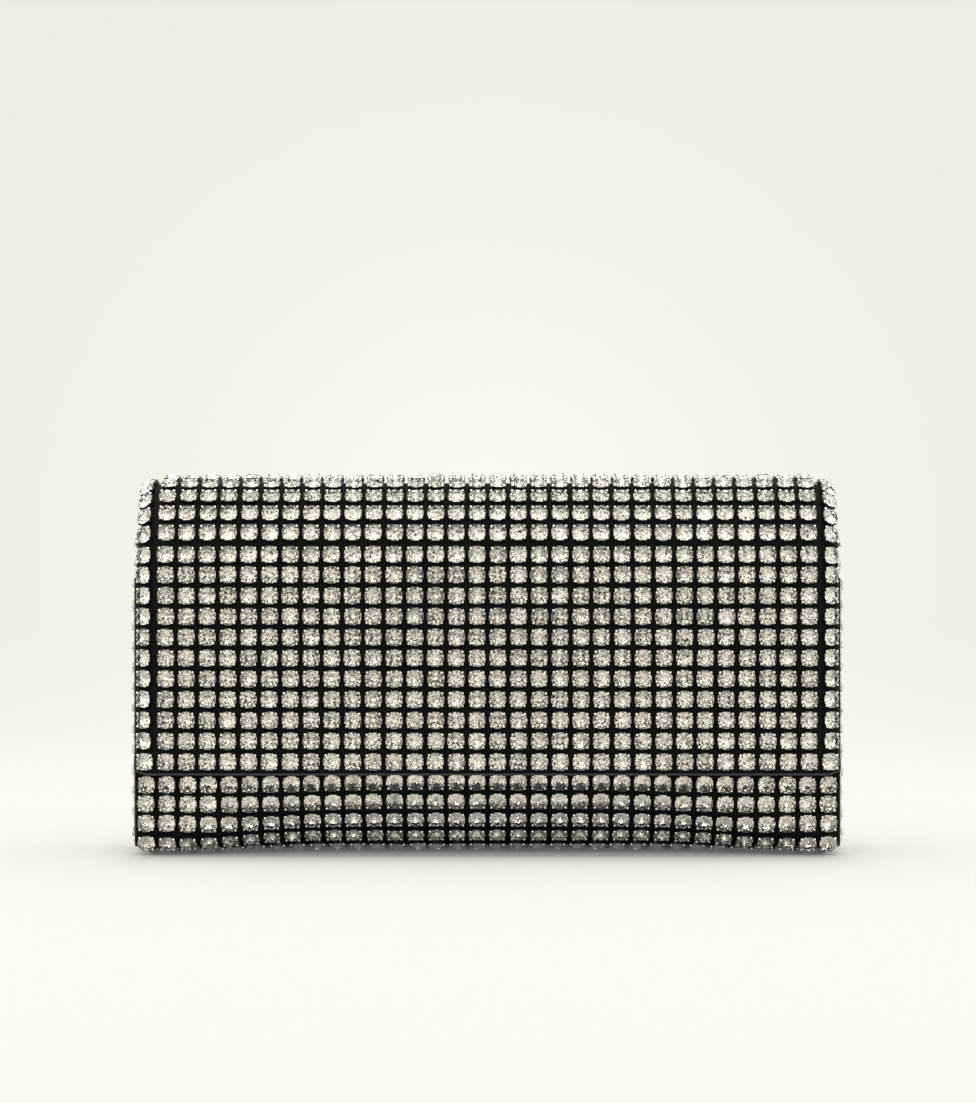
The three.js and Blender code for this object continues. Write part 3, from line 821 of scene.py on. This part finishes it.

# ---- The flap and the folds ----
# The flap is thin board in the same cloth, lined with satin. Over the top the cloth is soft between the
# rows of crystals, and a strip of cloth and one of satin are made over each of its six folds.
FLAP_BOARD, FLAP_LINING = (-0.0007, 0.00013), (-0.0013, -0.0009)
FLAP_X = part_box("back_crystal_mesh")[1].x
curled = np.linspace(CURL_START + 0.0006, FLAP_X, 12)
flap_across = np.concatenate([-curled[::-1], np.linspace(-1, 1, 61) * CURL_START, curled])
last_cut = FOLDS[-1] + STRIP / 2 + 0.00275
cuts = np.concatenate([[HEM, FOLDS[0] - STRIP / 2], FOLDS[:-1] + STRIP / 2, [last_cut]])
flap_alongs = np.concatenate([np.linspace(HEM, -0.048, 10), np.linspace(-0.044, cuts[1], 14)])
fixed(shell("flap_covered_board", flap, flap_across, flap_alongs, FLAP_BOARD, MESH_CLOTH),
      "flap", "shell_cloth", "flap_board")
fixed(shell("flap_satin", flap, flap_across, flap_alongs, FLAP_LINING, SATIN, 0.00006),
      "flap", "lining", "flap_lining")
chain = ["flap", "roll_1", "roll_2", "roll_3", "roll_4", "roll_5", "bag_body"]
for index, (near, far) in enumerate(zip(chain, chain[1:])):
    span = np.linspace(cuts[index + 1], cuts[index + 2], 19)
    crease = FOLDS[index]
    start, end = (flap(np.zeros(1), np.array([crease + step]))[0][0] for step in (-0.0034, 0.0034))
    for kind, layer, material, slot, old in (("cloth", FLAP_BOARD, MESH_CLOTH, "shell_cloth", "backing"),
                                             ("satin", FLAP_LINING, SATIN, "lining", "lining")):
        piece = shell(f"fold_{index + 1}_{kind}", flap, flap_across, span, layer, material)
        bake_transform(piece)
        if near != "flap":
            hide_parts(f"{near}_{old}")

# ---- Bindings ----
# Black grosgrain ribbon folded over each raw edge: the front's mouth and the gussets' tops. Its
# ribs run across it, and it is machine-stitched a little above its lower edge.


def tube_faces(at):
    """The faces of closed tubes. at holds the points' numbers by tube, ring and place round the
    ring. A quad joins each point, the next one round, and those two in the next ring, and the
    first and last rings are faces too."""
    beside = np.roll(at, -1, -1)
    walls = np.stack([at[:, :-1], beside[:, :-1], beside[:, 1:], at[:, 1:]], -1)
    return walls.reshape(-1, 4).tolist() + at[:, 0, ::-1].tolist() + at[:, -1].tolist()


def carried(name, path, sides, profile, material):
    """A closed profile carried along a path: each point is the path's, plus the profile's two
    numbers times the two directions that sides gives there. Both ends are closed."""
    path, profile = np.asarray(path, float), np.asarray(profile, float)
    first, second = (np.broadcast_to(side, path.shape) for side in sides)
    count, size = len(path), len(profile)
    rings = path[:, None] + first[:, None] * profile[:, :1] + second[:, None] * profile[:, 1:]
    faces = tube_faces(np.arange(count * size).reshape(1, count, size))
    run = run_along(path)
    lengths = np.stack(np.meshgrid(run, run_along(profile), indexing="ij"), -1).reshape(-1, 2)
    following = np.roll(profile, -1, 0)
    area = np.sum(profile[:, 0] * following[:, 1] - profile[:, 1] * following[:, 0])
    ahead_way = np.dot(np.cross(first[0], second[0]), path[1] - path[0])
    if area * ahead_way < 0:
        faces = [face[::-1] for face in faces]
    piece = mesh_object(name, rings, faces, [material], smooth=True, uv=lengths)
    piece.data.set_sharp_from_angle(angle=math.radians(55))
    return piece


def ribbon():
    """Grosgrain: ribs across the ribbon at 0.55 mm, on its own lengths, and a dull gloss."""
    material, nodes = new_material("grosgrain")
    lengths = nodes.add("ShaderNodeTexCoord", output=2)
    ribs = (nodes.parts(lengths)[0] * (2 * math.pi / 0.00055)).math("SINE") * 0.5 + 0.5
    cloud = nodes.add("ShaderNodeTexNoise", {}, {"Vector": lengths, "Scale": 300.0, "Detail": 2.0})
    raised = nodes.add("ShaderNodeBump", {}, {"Height": ribs, "Distance": 0.00010, "Strength": 0.8})
    tone = nodes.mix(ribs * 0.7 + cloud * 0.3, (0.004, 0.0035, 0.003), (0.020, 0.018, 0.016))
    nodes.surface(Base_Color=tone, Roughness=cloud * 0.15 + 0.5, Normal=raised, Specular_IOR_Level=0.35)
    return material


def folded_edge(outer, inner, top, low_outer, low_inner, thick=0.0003):
    """The profile of a ribbon folded over an edge, as (across, up): two legs and a round top."""
    middle, half = (outer + inner) / 2, (outer - inner) / 2
    turn = np.linspace(0, math.pi, 9)
    arch = np.stack([middle + half * np.cos(turn), top - abs(half) + abs(half) * np.sin(turn)], -1)
    tight = half - math.copysign(thick, half)
    under = np.stack([middle + tight * np.cos(turn), top - abs(half) + abs(tight) * np.sin(turn)], -1)
    return np.concatenate([[(outer, low_outer)], arch, [(inner, low_inner)],
                           [(middle - tight, low_inner)], under[::-1], [(middle + tight, low_outer)]])


def stitches(name, path, lean, every=0.003, long=0.0021, thick=0.00016):
    """A row of stitches along a path, one at every step of every. Each is a spindle: five rings
    of six points, whose radius and height over the path are smaller at its two ends."""
    path = np.asarray(path, float)
    run = run_along(path)
    starts = np.arange(every / 2, run[-1] - long, every)
    along = starts[:, None] + np.array([0, 0.18, 0.5, 0.82, 1.0]) * long
    centre = points_along(along, run, path)
    ahead = unit(centre[:, -1:] - centre[:, :1])
    side = unit(np.cross(ahead, np.broadcast_to(np.asarray(lean, float), ahead.shape)))
    up = np.cross(side, ahead)
    girth = np.array([0.35, 0.9, 1.0, 0.9, 0.35]) * thick
    lift = np.array([-0.9, 0.1, 0.5, 0.1, -0.9]) * thick
    turn = (np.arange(6) * math.pi / 3)[:, None]
    round_it = np.cos(turn) * side[:, :, None] + np.sin(turn) * up[:, :, None]
    rings = centre[:, :, None] + lift[:, None, None] * up[:, :, None] + girth[:, None, None] * round_it
    faces = tube_faces(np.arange(rings[..., 0].size).reshape(-1, 5, 6))
    return mesh_object(name, rings, faces, [THREAD], smooth=True)


def sewing_thread():
    """Black spun thread with a faint gloss."""
    material, nodes = new_material("sewing_thread")
    place = nodes.add("ShaderNodeTexCoord", output=3)
    fluff = nodes.add("ShaderNodeTexNoise", {}, {"Vector": place, "Scale": 5000.0, "Detail": 2.0})
    tone = nodes.mix(fluff, (0.010, 0.009, 0.008), (0.035, 0.031, 0.028))
    nodes.surface(Base_Color=tone, Roughness=fluff * 0.2 + 0.45)
    return material


GROSGRAIN, THREAD = ribbon(), sewing_thread()
low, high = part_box("front_mouth_binding")
mouth_x = np.linspace(-WALL_X, WALL_X, 160)
sag = 0.00010 * np.sin(mouth_x * 140)
mouth = np.stack([mouth_x, 0 * mouth_x, high.z + 0 * mouth_x + 0.3 * sag], -1)
profile = folded_edge(low.y - 0.00012, high.y + 0.00012, 0, -0.0052, -0.0052)
fixed(carried("mouth_ribbon", mouth, ((0, 1, 0), (0, 0, 1)), profile, GROSGRAIN),
      "bag_body", "binding", "front_mouth_binding")
for place, y, way in (("outside", low.y - 0.00016, -1), ("inside", high.y + 0.00016, 1)):
    line = np.stack([mouth_x[2:-2], 0 * mouth_x[2:-2] + y, 0 * mouth_x[2:-2] + high.z - 0.0043], -1)
    fixed(stitches(f"mouth_stitches_{place}", line, (0, way, 0)), "bag_body", "binding")

for side, sign in (("left", -1), ("right", 1)):
    low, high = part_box(f"{side}_gusset_binding")
    near, far = sorted((abs(low.x), abs(high.x)))
    shoulder = gusset_outline(0)[:37]
    fine = np.linspace(0, 36, 145)
    path = points_along(fine, np.arange(37), shoulder)
    smooth_path = path.copy()
    smooth_path[2:-2] = (path[:-4] + path[1:-3] + path[2:-2] + path[3:-1] + path[4:]) / 5
    ahead = unit(np.gradient(smooth_path, axis=0))
    outward = np.stack([0 * ahead[:, 0], -ahead[:, 1], ahead[:, 0]], -1)
    lifted = np.column_stack([np.full(len(fine), sign * (near + far) / 2), smooth_path])
    lifted = lifted + outward * 0.0006
    half = (far - near) / 2
    edge = folded_edge(half, -half, 0, -0.0006, -0.0028, 0.00025)
    edge[:, 0] *= sign
    fixed(carried(f"{side}_gusset_ribbon", lifted, ((1, 0, 0), outward), edge, GROSGRAIN),
          "bag_body", "binding", f"{side}_gusset_binding")

# ---- Seam cords ----
# A twisted black cord on a cloth tape, sewn into the corner seam between each gusset and the
# walls: down the back, under the foot and up the front.


def twisted(name, path, radius, material, lay=0.0022):
    """Two strands twisted together along a path. Each ring's radius is 0.80 plus 0.20 times the
    size of the cosine of its angle, less the twist, which makes one turn in every lay."""
    run = run_along(path)
    at = np.linspace(0, run[-1], int(run[-1] / 0.00055))
    centre = points_along(at, run, path)
    ahead = unit(np.gradient(centre, axis=0))
    first = np.broadcast_to(np.array([1.0, 0, 0]), ahead.shape)
    second = np.cross(ahead, first)
    turn = np.arange(12) * math.pi / 6
    spin = at * 2 * math.pi / lay
    reach = radius * (0.80 + 0.20 * np.abs(np.cos(turn - spin[:, None])))
    rings = (centre[:, None] + first[:, None] * (reach * np.cos(turn))[..., None]
             + second[:, None] * (reach * np.sin(turn))[..., None])
    faces = tube_faces(np.arange(len(centre) * 12).reshape(1, -1, 12))
    return mesh_object(name, rings, faces, [material], smooth=True)


for side, sign in (("left", -1), ("right", 1)):
    low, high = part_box(f"{side}_seam_piping")
    outline = gusset_outline(-0.0006)[37:]
    rising = np.array([[outline[0][0], high.z], *outline, [outline[-1][0], high.z]])
    path = np.column_stack([np.full(len(rising), (low.x + high.x) / 2), rising])
    fixed(twisted(f"{side}_seam_cord", path, (high.x - low.x) / 2, THREAD), "bag_body", "binding",
          f"{side}_seam_piping")
    outline = gusset_outline(0)[37:]
    rising = np.array([[outline[0][0], high.z], *outline, [outline[-1][0], high.z]])
    corner = np.column_stack([np.full(len(rising), sign * GUSSET_X), rising])
    ahead = unit(np.gradient(corner, axis=0))
    outward = np.stack([0 * ahead[:, 0], -ahead[:, 2], ahead[:, 1]], -1)
    tape = [(0.0001, -0.00024), (0.0018, 0.00004), (0.0018, 0.0003), (0.0001, 0.0)]
    fixed(carried(f"{side}_seam_tape", corner, ((sign, 0, 0), outward), tape, MESH_CLOTH),
          "bag_body", "binding")

# ---- The flap's rim ----
# The flap's cloth is turned over its edge and hemmed, down one side, along the hem and up the
# other. A row of stitches holds the lining just inside it.


def rim_line(inset, height, alongs):
    """A line round the flap's rim, inset along the cloth and raised from it by height, with the
    directions that point off its edge and off its face."""
    across = np.linspace(-FLAP_X + 0.003, FLAP_X - 0.003, 150)
    side = np.full(len(alongs), FLAP_X - inset)
    u = np.concatenate([-side, across, side])
    v = np.concatenate([alongs[::-1], np.full(len(across), HEM + inset), alongs])
    points, normals = flap(u, v)
    off = unit(np.cross(unit(np.gradient(points, axis=0)), normals))
    return points + normals * height, off, normals


HEM_CLOTH = satin("turned_hem_cloth", (0.012, 0.011, 0.010), (0.034, 0.031, 0.027), 0.62)
rim_alongs = np.concatenate([HEM + np.array([0.0008, 0.0016, 0.0026]),
                             np.linspace(HEM + 0.004, -0.047, 12),
                             np.linspace(-0.044, FOLDS[0] - 0.00095, 16)])
line, off, normals = rim_line(-0.00065, 0, rim_alongs)
turn = np.linspace(0, 2 * math.pi, 14, endpoint=False)
rolled = np.stack([0.00033 * np.cos(turn), -0.0002 + 0.00108 * np.sin(turn)], -1)
fixed(carried("flap_rim", line, (off, normals), rolled, HEM_CLOTH),
      "flap", "binding", "flap_edge_binding")
line, off, normals = rim_line(0.0022, FLAP_LINING[0] - 0.00004, rim_alongs)
fixed(stitches("flap_stitches", line, -normals[len(normals) // 2]), "flap", "binding")

# ---- The magnetic snap ----
# A pressed and nickel-plated case on the front holds a ring magnet, and a stud on the flap's
# lining drops into its hole. Washers behind them spread the pull.


def nickel(name, colour, roughness):
    """Plated metal: turning marks round the snap's axis, and fine wear."""
    material, nodes = new_material(name)
    place = nodes.add("ShaderNodeTexCoord", output=3)
    low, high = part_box("snap_socket_case")
    centred = nodes.add("ShaderNodeMapping", {}, {"Vector": place, "Location": (
        -(low.x + high.x) / 2, 0.0, -(low.z + high.z) / 2)})
    out = nodes.vector("LENGTH", nodes.vector("MULTIPLY", centred, (1, 0, 1)), output=1)
    rings = (out * (2 * math.pi / 0.00022)).math("SINE") * 0.5 + 0.5
    wear = nodes.add("ShaderNodeTexNoise", {}, {"Vector": place, "Scale": 420.0, "Detail": 4.0})
    raised = nodes.add("ShaderNodeBump", {}, {"Height": rings, "Distance": 0.00001, "Strength": 0.5})
    nodes.surface(Base_Color=nodes.mix(wear, tuple(0.75 * c for c in colour), colour),
                  Roughness=wear * 0.18 + roughness, Metallic=1.0, Normal=raised)
    return material


PLATED = nickel("nickel_plate", (0.62, 0.60, 0.57), 0.18)
MAGNET = nickel("magnet_nickel", (0.30, 0.30, 0.31), 0.30)
for node, material in (("snap_socket_case", PLATED), ("snap_socket_washer", PLATED),
                       ("snap_stud", PLATED), ("snap_socket_magnet", MAGNET)):
    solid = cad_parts[node]
    solid.data.materials.clear()
    solid.data.materials.append(material)

# ---- The slip pocket ----
# A patch of the lining satin sewn to the back on three sides. It stands away from the back most
# at its open top, which has a ribbon edge.
low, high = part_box("slip_pocket")
pocket_half, pocket_low, pocket_top = high.x, low.z, high.z
pocket_deep, pocket_back = high.y - low.y, high.y


def pocket(x, z):
    """The patch's cloth: flat against the back at its three sewn edges, and bowed forward
    between them, more towards the top."""
    side = 1 - np.abs(x / pocket_half) ** 5
    rise = np.sin(np.clip((z - pocket_low) / (pocket_top - pocket_low), 0, 1) * math.pi / 2) ** 0.6
    forward = (pocket_deep - 0.0008) * side * rise
    ripple = 0.00025 * np.sin(x * 160) * rise * side
    points = np.stack([x, pocket_back - 0.0006 - forward - ripple, z], -1)
    return points, np.stack([0 * x, 0 * x - 1, 0 * x], -1)


patch = shell("slip_pocket_patch", pocket, np.linspace(-1, 1, 121) * (pocket_half - 0.0001),
              np.linspace(pocket_low, pocket_top, 41), (-0.0005, 0.0), SATIN, 0.00003)
fixed(patch, "bag_body", "lining", "slip_pocket")
lip_x = np.linspace(-1, 1, 121) * (pocket_half - 0.0002)
lip = pocket(lip_x, 0 * lip_x + pocket_top)[0] + np.array([0, 0.00025, 0.0008])
lip_profile = folded_edge(0.00062, -0.00062, 0, -0.0032, -0.0032, 0.00026)
fixed(carried("slip_pocket_ribbon", lip, ((0, -1, 0), (0, 0, 1)), lip_profile, GROSGRAIN),
      "bag_body", "binding", "slip_pocket_binding")
sewn_z = np.linspace(pocket_low + 0.001, pocket_top - 0.001, 30)
sewn_x = np.linspace(-pocket_half + 0.002, pocket_half - 0.002, 90)
sewn = np.concatenate([
    np.stack([0 * sewn_z - pocket_half + 0.001, sewn_z], -1)[::-1],
    np.stack([sewn_x, np.full(90, pocket_low + 0.0008)], -1),
    np.stack([0 * sewn_z + pocket_half - 0.001, sewn_z], -1)])
sewn_points = pocket(sewn[:, 0], sewn[:, 1])[0] - np.array([0, 0.00005, 0])
fixed(stitches("slip_pocket_stitches", sewn_points, (0, -1, 0)), "bag_body", "binding")
